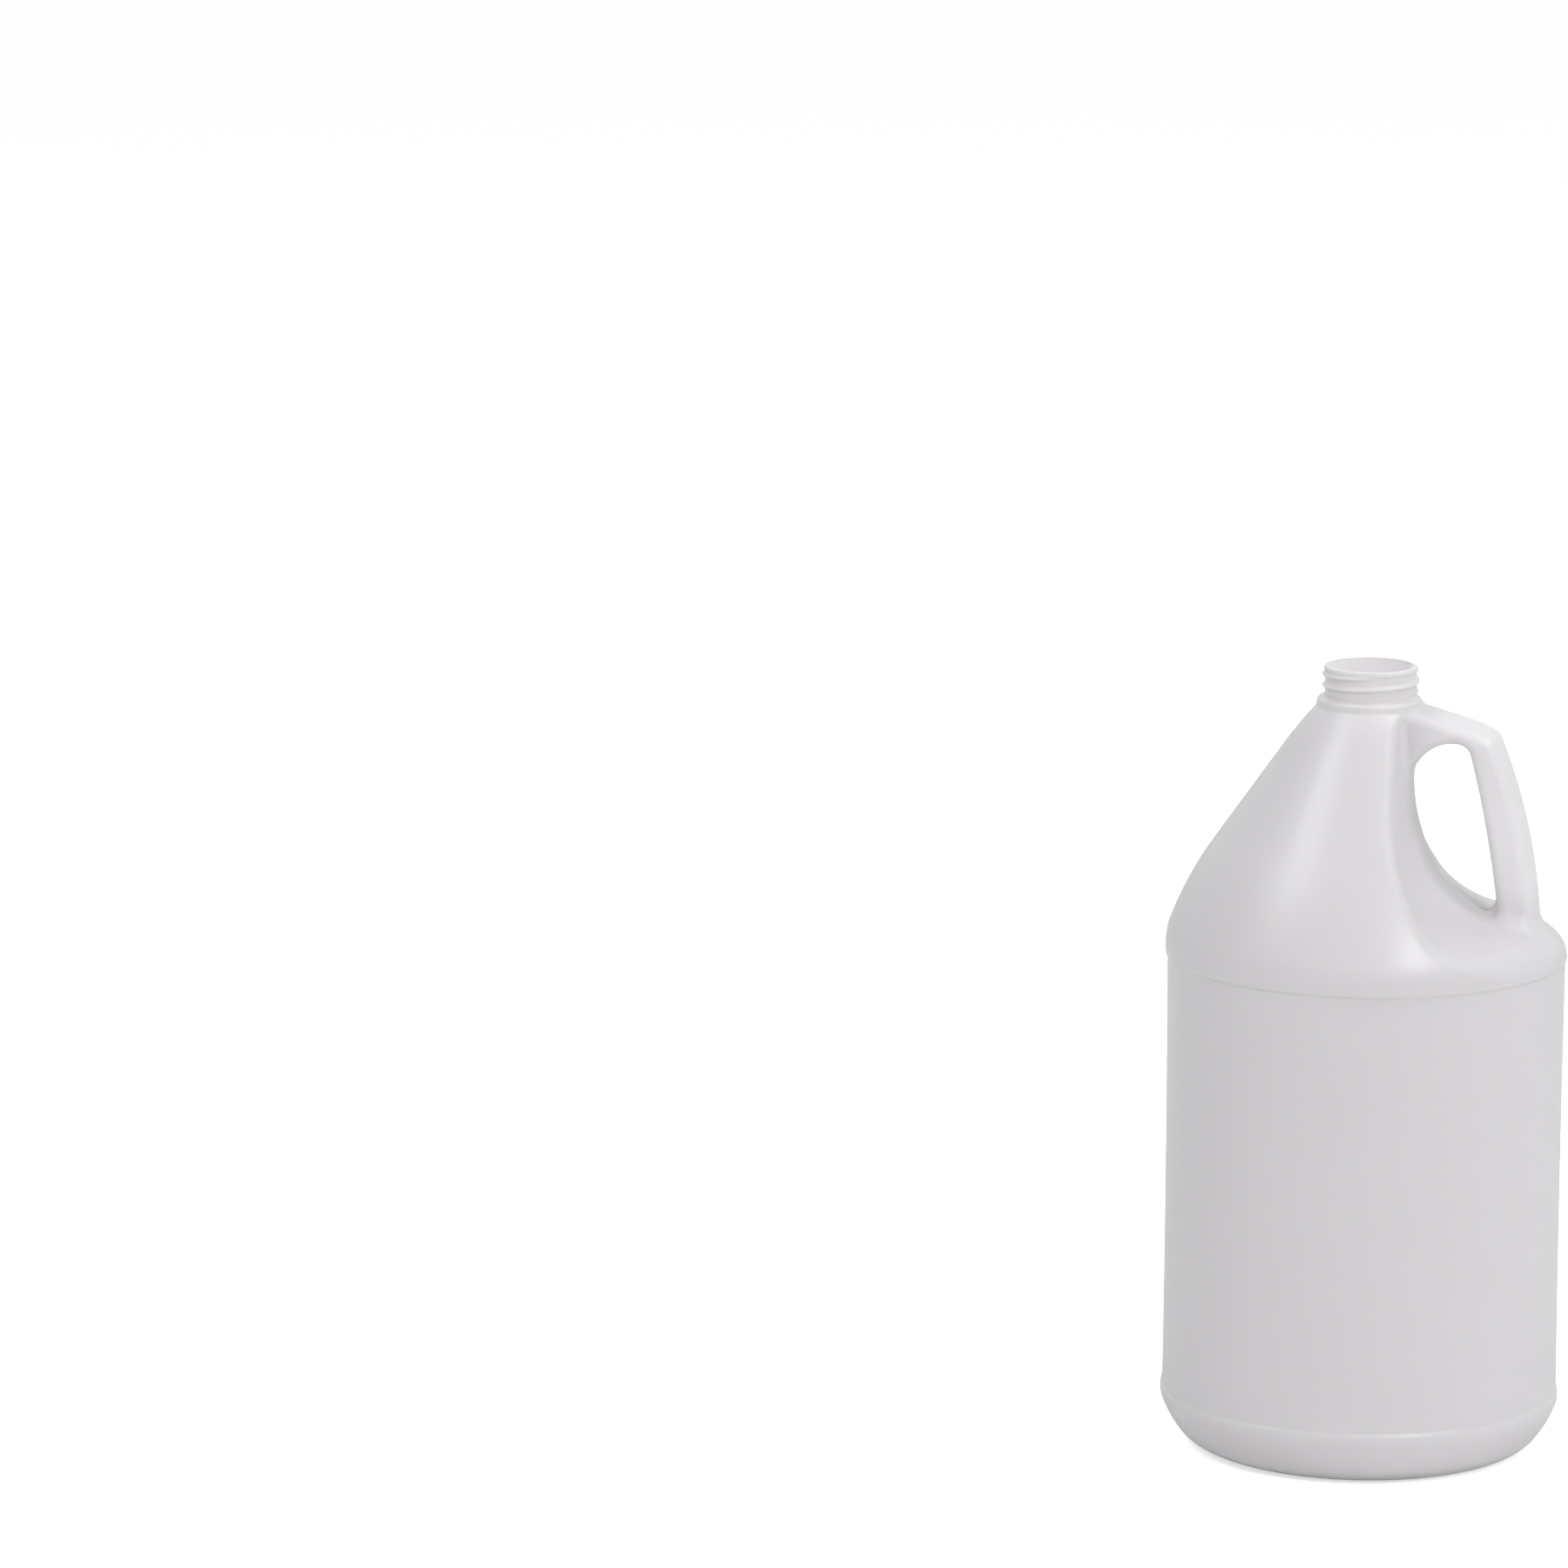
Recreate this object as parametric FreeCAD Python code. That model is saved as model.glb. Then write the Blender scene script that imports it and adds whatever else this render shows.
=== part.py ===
"""Round one-gallon plastic jug with a hollow handle, blow-moulded in one piece.

Millimetres.  The origin is the middle of the base on the surface it stands on, +Z is up, the mould's
parting plane is y = 0 and the handle is on the +X side.  The same form is made twice, once for the
outside and once a wall inside it, and the second is taken from the first.  That leaves one thin shell
whose handle is hollow and open to the body at both ends.
"""
import FreeCAD, Part
import math
import os

# ---- driving sizes of the body -------------------------------------------------------------------
OVERALL_HEIGHT = 302.0        # resting surface to the top of the lip
BODY_DIAMETER = 152.4         # over the bumper bands, the widest place
WALL = 0.8                    # blown wall of body and handle
BUMPER_STEP = 0.8             # how far the label panel lies inside the bumper bands
BUMPER_ROUND = 1.3            # outer round of the step between a band and the panel
BUMPER_CREASE = 0.6           # inner round of the same step

# base: pushed-up middle, standing ring and heel
PUSH_UP = 5.0                 # height of the middle of the base above the table
PUSH_UP_ROUND = 7.0           # round between the middle and its slope
RING_ROUND = 5.0              # inner round of the standing ring
RING_WIDTH = 3.0              # flat of the standing ring
PUSH_UP_SLOPE = 32.0          # degrees
HEEL_LOW_ROUND = 15.0         # three rounds of the heel, from the standing ring up to the band
HEEL_MID_ROUND = 40.0
HEEL_TOP_ROUND = 10.0
HEEL_LOW_TURN = 52.0          # degrees that the first two of them turn
HEEL_MID_TURN = 18.0
BASE_BAND = 0.3               # straight part of the base band

# shoulder: bumper band, dome and cone up to the collar
SHOULDER_BAND = 3.6           # straight part of the shoulder band
BAND_ROUND = 21.0
BAND_TURN = 20.1              # degrees
DOME_ROUND = 141.0
DOME_TURN = 14.75
CONE_TOP_ROUND = 148.0
CONE_TOP_TURN = 7.0

# neck: collar bead, thread wall, lip and bore
COLLAR_DIAMETER = 40.4
COLLAR_CREASE = 1.2           # round where the cone meets the collar
COLLAR_HEIGHT = 1.6           # straight side of the collar
COLLAR_ROUND = 1.4
NECK_ROOT_DIAMETER = 34.8     # wall that the thread stands on
NECK_ROOT_ROUND = 0.8
NECK_HEIGHT = 12.0            # top of the collar to the top of the lip
LIP_DIAMETER = 35.5
LIP_HEIGHT = 1.8
LIP_ROUND = 0.9
BORE_DIAMETER = 31.2
BORE_FLARE = 6.0              # height in which the bore opens out to the inside of the cone

# ---- pocket behind the handle --------------------------------------------------------------------
POCKET_TOP_X = 14.2           # distance of the pocket's wall from the axis, high up
POCKET_TOP_DROP = 22.5        # below the lip: where the wall starts to lean out to the cone
POCKET_TOP_LEAN = 6.0         # degrees from the vertical, high up
POCKET_LOW_LEAN = 33.0        # and lower down
POCKET_BEND_DROP = 45.0       # below the lip: where the lean starts to change
POCKET_BEND_ROUND = 92.0
POCKET_DRAFT = 8.0            # degrees that the wall falls back to each side of the parting plane
POCKET_ROOF_ROUND = 7.0
POCKET_ROOF_SLOPE = 45.0      # degrees above the horizontal
SHELF_RISE = 7.2              # edge of the shelf, before its round, above the middle of the band
SHELF_SLOPE = 14.5            # degrees, rising towards the axis
SHELF_CORNER = 11.0            # round between the pocket's wall and the shelf
SHELF_ROUND = 8.5             # round from the shelf down to the side of the body
SHELF_ROUND_TURN = 66.0       # degrees of that round, which meets the side at a slight edge

# ---- handle, drawn from the side -----------------------------------------------------------------
HANDLE_WIDTH = 27.0
HANDLE_CROWN = 2.8            # how far the handle's outside stands higher in the middle than at its sides
HOLE_CROWN = 0.6              # the same on the side of the hole
HANDLE_ROOT_DROP = 14.3       # below the lip: top of the handle at the collar's side
HANDLE_KNEE = 21.5            # from the collar's side to the middle of the top run
HANDLE_KNEE_DROP = 20.7       # below the lip
HANDLE_KNEE_ROUND = 40.0
ELBOW_REACH = 28.8            # from the collar's side to the corner of the outer outline
ELBOW_DROP = 24.3             # below the lip
ELBOW_ROUND = 6.5
GRIP_SETBACK = 10.2           # foot of the grip's outside, inside the bumper band
GRIP_BOW = 3.1                # how far the grip's outside stands off its chord
HOLE_BOW = 1.3                # and its inside, towards the hole
GRIP_TOP_DEPTH = 11.8         # from the elbow back to the hole's corner
GRIP_FOOT_DEPTH = 15.4        # from the outside to the hole, at the foot
HOLE_TOP_DROP = 28.1          # below the lip
HOLE_WEB_REACH = 5.0          # from the collar's side to where the hole's top turns down
HOLE_WEB_SLOPE = 50.0         # degrees, from there to the pocket's wall
HOLE_WEB_ROUND = 8.5
HOLE_CORNER_ROUND = 5.5
OUTER_EDGE_ROUND = 3.2        # long edges on the outside of the handle
HOLE_EDGE_ROUND = 2.4         # and round the hole
BOW_EASE = 0.15               # share of a bow's radius left out, which keeps its ends straight


def vec(x, z):
    """A point in the parting plane."""
    return FreeCAD.Vector(x, 0.0, z)


class Pen:
    """Draws lines and tangent arcs in the XZ plane, with an inset to the left of its travel."""

    def __init__(self, x, z, heading, inset=0.0):
        self.x, self.z, self.heading, self.inset = x, z, math.radians(heading), inset
        self.edges = []

    def place(self):
        """The drawn point, which lies the inset to the left of the pen."""
        return vec(self.x - self.inset * math.sin(self.heading),
                   self.z + self.inset * math.cos(self.heading))

    def line(self, length):
        start = self.place()
        self.x += length * math.cos(self.heading)
        self.z += length * math.sin(self.heading)
        if abs(length) > 1e-6:
            self.edges.append(Part.LineSegment(start, self.place()).toShape())
        return self

    def arc(self, radius, turn):
        """Turn by so many degrees, left if positive, on an arc of that radius."""
        side = 1.0 if turn > 0 else -1.0
        turn = math.radians(turn)
        start = self.place()
        cx = self.x - side * radius * math.sin(self.heading)
        cz = self.z + side * radius * math.cos(self.heading)
        points = []
        for share in (0.5, 1.0):
            heading = self.heading + share * turn
            reach = side * radius - self.inset
            points.append(vec(cx + reach * math.sin(heading), cz - reach * math.cos(heading)))
        self.edges.append(Part.Arc(start, points[0], points[1]).toShape())
        self.heading += turn
        self.x = cx + side * radius * math.sin(self.heading)
        self.z = cz - side * radius * math.cos(self.heading)
        return self


def arc_reach(radius, start, turn):
    """Horizontal and vertical travel of a left-hand arc that starts at that heading."""
    a, b = math.radians(start), math.radians(start + turn)
    return radius * (math.sin(b) - math.sin(a)), radius * (math.cos(a) - math.cos(b))


# ---- sizes that follow from the driving ones -----------------------------------------------------
BAND_RADIUS = BODY_DIAMETER / 2.0
COLLAR_RADIUS = COLLAR_DIAMETER / 2.0
COLLAR_TOP_Z = OVERALL_HEIGHT - NECK_HEIGHT
CONE_TURN = BAND_TURN + DOME_TURN + CONE_TOP_TURN


def step_turn():
    """Steepest slope of the step between a band and the panel, which is two rounds back to back."""
    return math.degrees(math.acos(1.0 - BUMPER_STEP / (BUMPER_ROUND + BUMPER_CREASE)))


def shoulder_sizes():
    """Height of the shoulder band's middle and length of the straight cone."""
    x1, z1 = arc_reach(BAND_ROUND, 90.0, BAND_TURN)
    x2, z2 = arc_reach(DOME_ROUND, 90.0 + BAND_TURN, DOME_TURN)
    x3, z3 = arc_reach(CONE_TOP_ROUND, 90.0 + BAND_TURN + DOME_TURN, CONE_TOP_TURN)
    x4, z4 = arc_reach(COLLAR_CREASE, 90.0, CONE_TURN)
    slope = math.radians(BAND_TURN + DOME_TURN)
    run = BAND_RADIUS - COLLAR_RADIUS + x1 + x2 + x3 + x4
    cone = run / math.sin(slope)
    rise = z1 + z2 + z3 + z4 + cone * math.cos(slope)
    band_top = COLLAR_TOP_Z - COLLAR_ROUND - COLLAR_HEIGHT - rise
    return band_top - SHOULDER_BAND / 2.0, cone


SHOULDER_Z, CONE_LENGTH = shoulder_sizes()
RIM_Z = SHOULDER_Z + SHELF_RISE


def heel_start():
    """Radius of the standing ring and height of the base band's lower end."""
    x1, z1 = arc_reach(HEEL_LOW_ROUND, 0.0, HEEL_LOW_TURN)
    x2, z2 = arc_reach(HEEL_MID_ROUND, HEEL_LOW_TURN, HEEL_MID_TURN)
    rest = 90.0 - HEEL_LOW_TURN - HEEL_MID_TURN
    x3, z3 = arc_reach(HEEL_TOP_ROUND, HEEL_LOW_TURN + HEEL_MID_TURN, rest)
    return BAND_RADIUS - x1 - x2 - x3, z1 + z2 + z3


def body_edges(inset):
    """Half outline from the middle of the base to the foot of the collar."""
    ring_radius, heel_top = heel_start()
    slope = math.radians(PUSH_UP_SLOPE)
    ramp = (PUSH_UP - (PUSH_UP_ROUND + RING_ROUND) * (1.0 - math.cos(slope))) / math.sin(slope)
    flat = (ring_radius - RING_WIDTH - (PUSH_UP_ROUND + RING_ROUND) * math.sin(slope)
            - ramp * math.cos(slope))
    pen = Pen(0.0, PUSH_UP, 0.0, inset)
    pen.line(flat).arc(PUSH_UP_ROUND, -PUSH_UP_SLOPE).line(ramp).arc(RING_ROUND, PUSH_UP_SLOPE)
    pen.line(RING_WIDTH)
    pen.arc(HEEL_LOW_ROUND, HEEL_LOW_TURN).arc(HEEL_MID_ROUND, HEEL_MID_TURN)
    pen.arc(HEEL_TOP_ROUND, 90.0 - HEEL_LOW_TURN - HEEL_MID_TURN).line(BASE_BAND)
    turn = step_turn()
    step_height = (BUMPER_ROUND + BUMPER_CREASE) * math.sin(math.radians(turn))
    pen.arc(BUMPER_ROUND, turn).arc(BUMPER_CREASE, -turn)
    pen.line(SHOULDER_Z - SHOULDER_BAND / 2.0 - step_height - pen.z)
    pen.arc(BUMPER_CREASE, -turn).arc(BUMPER_ROUND, turn)
    pen.line(SHOULDER_BAND).arc(BAND_ROUND, BAND_TURN).arc(DOME_ROUND, DOME_TURN)
    pen.line(CONE_LENGTH).arc(CONE_TOP_ROUND, CONE_TOP_TURN)
    return pen


def outer_body():
    """Outside of the jug without pocket and handle."""
    pen = body_edges(0.0)
    pen.arc(COLLAR_CREASE, -CONE_TURN).line(COLLAR_HEIGHT).arc(COLLAR_ROUND, 90.0)
    ledge = COLLAR_RADIUS - COLLAR_ROUND - NECK_ROOT_DIAMETER / 2.0 - NECK_ROOT_ROUND
    pen.line(ledge).arc(NECK_ROOT_ROUND, -90.0)
    lip_step = (LIP_DIAMETER - NECK_ROOT_DIAMETER) / 2.0
    pen.line(OVERALL_HEIGHT - LIP_HEIGHT - lip_step - pen.z)
    lip_x = LIP_DIAMETER / 2.0
    under = vec(lip_x, OVERALL_HEIGHT - LIP_HEIGHT)
    side = vec(lip_x, OVERALL_HEIGHT - LIP_ROUND)
    mid = vec(lip_x - LIP_ROUND * (1 - math.sqrt(0.5)), OVERALL_HEIGHT - LIP_ROUND * (1 - math.sqrt(0.5)))
    top = vec(lip_x - LIP_ROUND, OVERALL_HEIGHT)
    axis_top = vec(0.0, OVERALL_HEIGHT)
    edges = pen.edges + [Part.LineSegment(pen.place(), under).toShape(),
                         Part.LineSegment(under, side).toShape(),
                         Part.Arc(side, mid, top).toShape(),
                         Part.LineSegment(top, axis_top).toShape(),
                         Part.LineSegment(axis_top, vec(0.0, PUSH_UP)).toShape()]
    return revolve(edges)


def inner_body():
    """Inside of the jug, open through the bore."""
    pen = body_edges(WALL)
    bore = BORE_DIAMETER / 2.0
    cone_end = pen.place()
    bore_foot = vec(bore, cone_end.z + BORE_FLARE)
    bore_top = vec(bore, OVERALL_HEIGHT + WALL)
    axis_top = vec(0.0, OVERALL_HEIGHT + WALL)
    start = vec(0.0, PUSH_UP + WALL)
    edges = pen.edges + [Part.LineSegment(cone_end, bore_foot).toShape(),
                         Part.LineSegment(bore_foot, bore_top).toShape(),
                         Part.LineSegment(bore_top, axis_top).toShape(),
                         Part.LineSegment(axis_top, start).toShape()]
    return revolve(edges)


def revolve(edges):
    """Turn a closed half outline once round the axis, with the seam away from the handle."""
    face = Part.Face(Part.Wire(edges))
    solid = face.revolve(vec(0.0, 0.0), FreeCAD.Vector(0, 0, 1), 360.0)
    if solid.Volume < 0.0:
        solid.reverse()
    return solid.rotated(vec(0.0, 0.0), FreeCAD.Vector(0, 0, 1), 180.0)


def pocket_wall(inset):
    """Side outline of the pocket's wall, drawn upwards from well below the shelf."""
    top_z = OVERALL_HEIGHT - POCKET_TOP_DROP
    bend_z = OVERALL_HEIGHT - POCKET_BEND_DROP
    top_lean, low_lean = math.radians(POCKET_TOP_LEAN), math.radians(POCKET_LOW_LEAN)
    bend_x = POCKET_TOP_X + (top_z - bend_z) * math.tan(top_lean)
    low_x = bend_x + POCKET_BEND_ROUND * (math.cos(top_lean) - math.cos(low_lean))
    low_z = bend_z - POCKET_BEND_ROUND * (math.sin(low_lean) - math.sin(top_lean))
    tail = (low_z - RIM_Z + BAND_ROUND) / math.cos(low_lean)
    pen = Pen(low_x + tail * math.sin(low_lean), low_z - tail * math.cos(low_lean),
              90.0 + POCKET_LOW_LEAN, inset)
    pen.line(tail).arc(POCKET_BEND_ROUND, -(POCKET_LOW_LEAN - POCKET_TOP_LEAN))
    pen.line((top_z - bend_z) / math.cos(top_lean))
    pen.arc(POCKET_ROOF_ROUND, -(90.0 + POCKET_TOP_LEAN - POCKET_ROOF_SLOPE))
    return pen.line(BODY_DIAMETER)


def shelf_room(inset):
    """Room above the shelf, turned about the axis; its floor rounds over towards the body's side."""
    slope = math.radians(SHELF_SLOPE)
    rim = vec(BAND_RADIUS, RIM_Z)
    before_rim = SHELF_ROUND * math.tan(math.radians(90.0 - SHELF_SLOPE) / 2.0)
    run = (BAND_RADIUS - POCKET_TOP_X / 2.0) / math.cos(slope) - before_rim
    pen = Pen(rim.x - (run + before_rim) * math.cos(slope), rim.z + (run + before_rim) * math.sin(slope),
              -SHELF_SLOPE, -inset)
    pen.line(run).arc(SHELF_ROUND, -SHELF_ROUND_TURN).line(SHELF_ROUND)
    start, end = pen.edges[0].Vertexes[0].Point, pen.edges[-1].Vertexes[-1].Point
    corners = [end, vec(BODY_DIAMETER, end.z), vec(BODY_DIAMETER, 2.0 * OVERALL_HEIGHT),
               vec(start.x, 2.0 * OVERALL_HEIGHT), start]
    return revolve(pen.edges + Part.makePolygon(corners).Edges)


def pocket(inset):
    """Space that the pocket takes out of the body, grown by the inset, in two drafted halves."""
    pen = pocket_wall(inset)
    start, end = pen.edges[0].Vertexes[0].Point, pen.edges[-1].Vertexes[-1].Point
    corner = vec(end.x, start.z)
    outline = pen.edges + [Part.LineSegment(end, corner).toShape(),
                           Part.LineSegment(corner, start).toShape()]
    draft = FreeCAD.Vector(-math.tan(math.radians(POCKET_DRAFT)), -1.0, 0.0) * BODY_DIAMETER
    half = Part.Face(Part.Wire(outline)).extrude(draft)
    if half.Volume < 0.0:
        half.reverse()
    half = half.common(shelf_room(inset)).Solids[0]
    half = half.makeFillet(SHELF_CORNER + inset, shelf_corner(half))
    other = half.mirror(vec(0.0, 0.0), FreeCAD.Vector(0.0, 1.0, 0.0))
    return half.fuse(other).removeSplitter().Solids[0]


def kinds(shape, edge):
    """Kinds of surface on the two sides of an edge."""
    return sorted(face.Surface.TypeId for face in shape.ancestorsOfType(edge, Part.Face))


def shelf_corner(space):
    """The edge where the pocket's wall comes down on the shelf."""
    return [edge for edge in space.Edges
            if kinds(space, edge) == ["Part::GeomCone", "Part::GeomPlane"]
            and edge.BoundBox.XMax < BAND_RADIUS and edge.BoundBox.YLength > BAND_RADIUS / 2.0]


def rounded_outline(corners, inset, y):
    """A closed wire of straight runs joined by tangent arcs, all moved inwards by the inset.

    Each corner is x, z and the radius of its round, and the corners run anticlockwise.
    """
    points = [vec(x, z) for x, z, radius in corners]
    ends = []
    arcs = []
    for index, corner in enumerate(points):
        radius = corners[index][2]
        came = (corner - points[index - 1]).normalize()
        goes = (points[(index + 1) % len(points)] - corner).normalize()
        turn = math.atan2(came.x * goes.z - came.z * goes.x, came.x * goes.x + came.z * goes.z)
        cut = radius * math.tan(abs(turn) / 2.0)
        left_in = vec(-came.z, came.x) * inset
        left_out = vec(-goes.z, goes.x) * inset
        first, last = corner - came * cut + left_in, corner + goes * cut + left_out
        across = (goes - came).normalize()
        side = 1.0 if turn > 0.0 else -1.0
        centre = corner + across * (radius / math.cos(turn / 2.0))
        middle = centre - across * (radius - side * inset)
        ends.append((first, last))
        arcs.append((first, middle, last))
    lift = FreeCAD.Vector(0.0, y, 0.0)
    edges = []
    for index, (first, middle, last) in enumerate(arcs):
        edges.append(Part.Arc(first + lift, middle + lift, last + lift).toShape())
        following = ends[(index + 1) % len(ends)][0]
        edges.append(Part.LineSegment(last + lift, following + lift).toShape())
    return Part.Wire(edges)


def crowned(corners, inset, crown, half_width):
    """A rounded side outline as a solid: full at the parting plane, less by the crown at both sides."""
    middle = rounded_outline(corners, inset, 0.0)
    side = rounded_outline(corners, inset + crown, -half_width)
    half = Part.makeLoft([middle, side], True, True)
    other = half.mirror(vec(0.0, 0.0), FreeCAD.Vector(0.0, 1.0, 0.0))
    return half.fuse(other).Solids[0]


def bow_corner(start, end, bow):
    """The corner over the middle of a bowed stretch, and the radius of the bow's arc."""
    chord = end - start
    side = vec(chord.z, -chord.x).normalize()
    radius = (chord.Length ** 2 / 4.0 + bow ** 2) / (2.0 * bow)
    corner = (start + end) * 0.5 + side * (2.0 * bow)
    return corner.x, corner.z, radius * (1.0 - BOW_EASE)


def grip_line():
    """Foot and elbow of the grip's outside."""
    foot = vec(BAND_RADIUS - GRIP_SETBACK, RIM_Z)
    elbow = vec(COLLAR_RADIUS + ELBOW_REACH, OVERALL_HEIGHT - ELBOW_DROP)
    return foot, elbow


def handle_corners():
    """The handle's outer outline, anticlockwise, filled in as far as the inside of the neck."""
    foot, elbow = grip_line()
    inside = BORE_DIAMETER / 4.0
    knee = vec(COLLAR_RADIUS + HANDLE_KNEE, OVERALL_HEIGHT - HANDLE_KNEE_DROP)
    root = vec(COLLAR_RADIUS, OVERALL_HEIGHT - HANDLE_ROOT_DROP)
    rise = (root.z - knee.z) / (knee.x - root.x)
    low = RIM_Z - SHELF_CORNER
    return [(inside, low, HOLE_CORNER_ROUND),
            (foot.x, low, HOLE_CORNER_ROUND),
            (foot.x, foot.z, HOLE_CORNER_ROUND),
            bow_corner(foot, elbow, GRIP_BOW),
            (elbow.x, elbow.z, ELBOW_ROUND),
            (knee.x, knee.z, HANDLE_KNEE_ROUND),
            (inside, root.z + rise * (root.x - inside), HOLE_CORNER_ROUND)]


def hole_corners():
    """The gap for the fingers, anticlockwise, running on into the body on the left and below."""
    foot, elbow = grip_line()
    top = OVERALL_HEIGHT - HOLE_TOP_DROP
    grip_foot = vec(foot.x - GRIP_FOOT_DEPTH, RIM_Z)
    grip_top = vec(elbow.x - GRIP_TOP_DEPTH, top)
    web_x = COLLAR_RADIUS + HOLE_WEB_REACH
    # the sloping web comes to the pocket's wall a little inside it
    wall_top = vec(POCKET_TOP_X - WALL / 2.0, OVERALL_HEIGHT - POCKET_TOP_DROP)
    wall_slope = math.tan(math.radians(POCKET_TOP_LEAN))
    web_slope = math.tan(math.radians(HOLE_WEB_SLOPE))
    drop = (wall_top.z - top + (web_x - wall_top.x) * web_slope) / (1.0 + wall_slope * web_slope)
    wall_x = wall_top.x + drop * wall_slope
    low = RIM_Z - SHELF_CORNER
    return [(wall_x, low, HOLE_CORNER_ROUND),
            (grip_foot.x, low, HOLE_CORNER_ROUND),
            (grip_foot.x, grip_foot.z, HOLE_CORNER_ROUND),
            bow_corner(grip_foot, grip_top, HOLE_BOW),
            (grip_top.x, grip_top.z, HOLE_CORNER_ROUND),
            (web_x, top, HOLE_WEB_ROUND),
            (wall_x, wall_top.z - drop, HOLE_WEB_ROUND)]


def handle(inset):
    """The handle as a solid: its outside, or with an inset the hollow in it."""
    half_width = HANDLE_WIDTH / 2.0 - inset
    share = half_width / (HANDLE_WIDTH / 2.0)
    plate = crowned(handle_corners(), inset, HANDLE_CROWN * share, half_width)
    plate = plate.makeFillet(OUTER_EDGE_ROUND - inset, side_edges(plate, half_width))
    hole = crowned(hole_corners(), -inset, -2.0 * HOLE_CROWN, HANDLE_WIDTH)
    grip = plate.cut(hole).Solids[0]
    rim = [edge for edge in side_edges(grip, half_width) if edge.distToShape(hole)[0] < 1e-4]
    return grip.makeFillet(HOLE_EDGE_ROUND - inset, rim)


def side_edges(solid, half_width):
    """The edges in the handle's two flat sides that show above the shelf."""
    edges = []
    for edge in solid.Edges:
        box = edge.BoundBox
        in_side = box.YLength < 1e-3 and abs(abs(box.YMin) - half_width) < 1e-3
        if in_side and box.XMax > BORE_DIAMETER / 2.0 and box.ZMax > RIM_Z:
            edges.append(edge)
    return edges


def form(inset):
    """The whole jug as one filled solid: its outside, or with an inset the room inside it."""
    body = inner_body() if inset else outer_body()
    return body.cut(pocket(inset)).Solids[0].fuse(handle(inset)).Solids[0]


def jug():
    """The blown shell, open at the mouth and hollow through the handle."""
    return form(0.0).cut(form(WALL)).Solids[0]


os.makedirs("parts", exist_ok=True)
shell = jug()
shell.exportStep("parts/jug.step")
print("jug: one solid", shell.isValid(), "plastic", round(shell.Volume / 1000.0, 1), "cm3")
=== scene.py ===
# %% [markdown]
# # A plastic gallon jug in Blender
# The jug is blown in one piece from milky plastic: a round body, a shoulder that closes to a small neck, and
# a hollow handle that springs from the neck and lands in a pocket pinched into the side. It is one skin
# without a single part line to hide a joint behind, so it can't be put together from a cylinder and a bent
# tube. This lesson describes the jug as a *field*, a number for every point in space that is below zero in
# the plastic and above zero outside it, and then lays a net of faces over the zero. Fields can be rounded
# into each other, which is just what blown plastic does in its mould.

import math

import bpy
import numpy as np
from mathutils import Matrix, Vector


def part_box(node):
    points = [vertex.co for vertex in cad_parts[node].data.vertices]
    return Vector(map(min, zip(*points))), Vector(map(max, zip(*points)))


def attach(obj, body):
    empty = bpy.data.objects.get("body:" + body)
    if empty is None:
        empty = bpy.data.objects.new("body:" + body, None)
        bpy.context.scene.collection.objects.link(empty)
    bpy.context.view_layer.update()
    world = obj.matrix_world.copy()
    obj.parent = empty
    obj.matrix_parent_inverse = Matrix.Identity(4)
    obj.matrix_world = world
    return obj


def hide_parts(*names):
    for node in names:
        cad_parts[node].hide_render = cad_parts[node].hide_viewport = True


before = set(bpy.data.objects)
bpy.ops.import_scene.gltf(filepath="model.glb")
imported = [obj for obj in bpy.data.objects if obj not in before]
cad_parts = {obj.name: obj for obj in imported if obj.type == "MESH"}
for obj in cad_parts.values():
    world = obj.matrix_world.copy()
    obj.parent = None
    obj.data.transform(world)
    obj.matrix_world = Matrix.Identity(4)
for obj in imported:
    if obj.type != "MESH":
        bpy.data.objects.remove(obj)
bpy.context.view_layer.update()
low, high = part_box("jug")
MM = 0.001
HEIGHT = high.z
BAND_RADIUS = (high.y - low.y) / 2.0
print("jug is", round(HEIGHT / MM, 1), "mm high and", round(2.0 * BAND_RADIUS / MM, 1), "mm across")

# %% [markdown]
# ## Sizes
# Everything is in metres, because the frame is, but a jug is easier to think about in millimetres, so each
# size is written in millimetres times MM. They are grouped as a mould maker would: body, neck, pocket and
# handle. Heights near the top are drops below the lip, because the neck is what caps and fillers fit. Angles
# are in degrees, and a pair is a radius with the angle that its arc turns through.

# %% Sizes of the body and neck
WALL = 0.8 * MM
BUMPER_STEP = 0.8 * MM
BUMPER_ROUND = 1.3 * MM
BUMPER_CREASE = 0.6 * MM
BASE_STEP_ROUND = 2.8 * MM
PUSH_UP = 5.0 * MM
PUSH_UP_ROUND = 7.0 * MM
RING_ROUND = 5.0 * MM
RING_WIDTH = 3.0 * MM
PUSH_UP_SLOPE = 32.0
HEEL = ((15.0 * MM, 52.0), (40.0 * MM, 18.0), (10.0 * MM, 20.0))
BASE_BAND = 0.3 * MM
SHOULDER_BAND = 3.6 * MM
SHOULDER = ((21.0 * MM, 20.1), (141.0 * MM, 14.75))
CONE_TOP = (148.0 * MM, 7.0)
COLLAR_RADIUS = 20.2 * MM
COLLAR_CREASE = 1.2 * MM
COLLAR_HEIGHT = 1.6 * MM
COLLAR_ROUND = 1.4 * MM
NECK_RADIUS = 17.4 * MM
NECK_ROOT_ROUND = 0.8 * MM
NECK_HEIGHT = 12.0 * MM
LIP_RADIUS = 17.75 * MM
LIP_HEIGHT = 1.8 * MM
LIP_ROUND = 0.9 * MM
BORE_RADIUS = 15.6 * MM

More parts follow.
